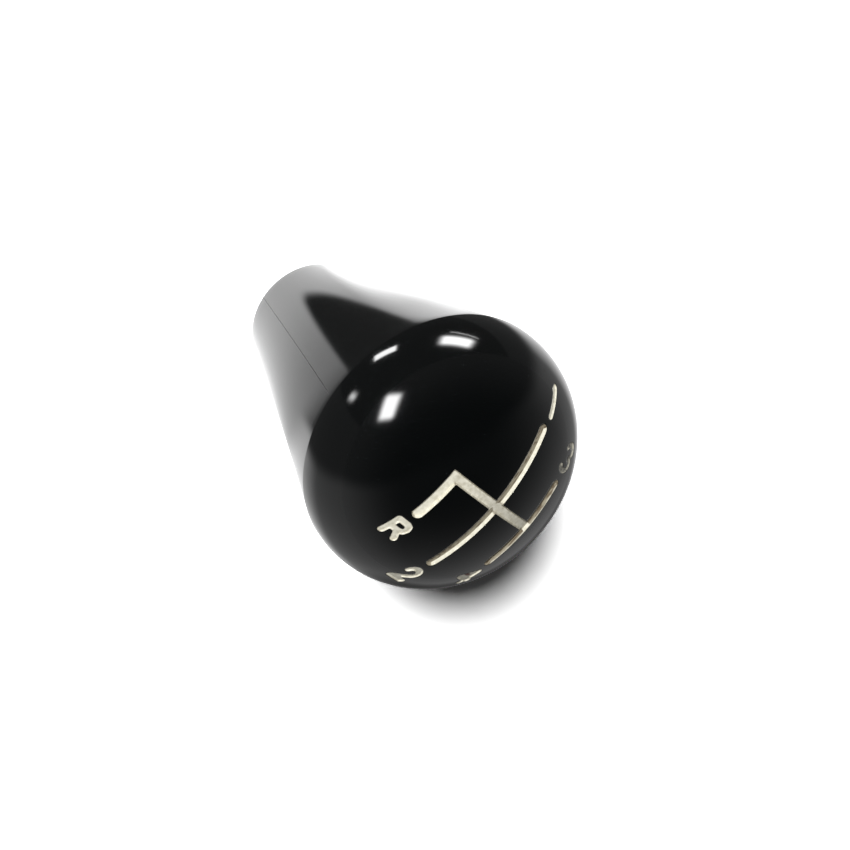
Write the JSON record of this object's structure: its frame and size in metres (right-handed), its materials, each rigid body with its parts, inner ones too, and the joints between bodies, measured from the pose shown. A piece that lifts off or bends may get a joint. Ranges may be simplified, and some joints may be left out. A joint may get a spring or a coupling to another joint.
{
  "type": "gear shift knob",
  "caption": "Tapered black gear lever knob with an enamelled shift gate on its domed head and a threaded bush in its end.",
  "frame": {"origin": "centre of the stem's flat end face, on the knob's axis", "axes": "+Z along the knob's axis from the stem end to the crown, +X to the right across the shift gate, +Y towards its top row"},
  "size_m": [0.045, 0.045, 0.0631],
  "materials": {
    "black_moulding": "polished black phenolic moulding",
    "bush_brass": "turned brass",
    "gate_enamel": "off-white enamel wiped into the engraving"
  },
  "bodies": {
    "root": {"knob_body": "black_moulding", "threaded_bush": "bush_brass", "gate_enamel": "gate_enamel"}
  },
  "joints": []
}
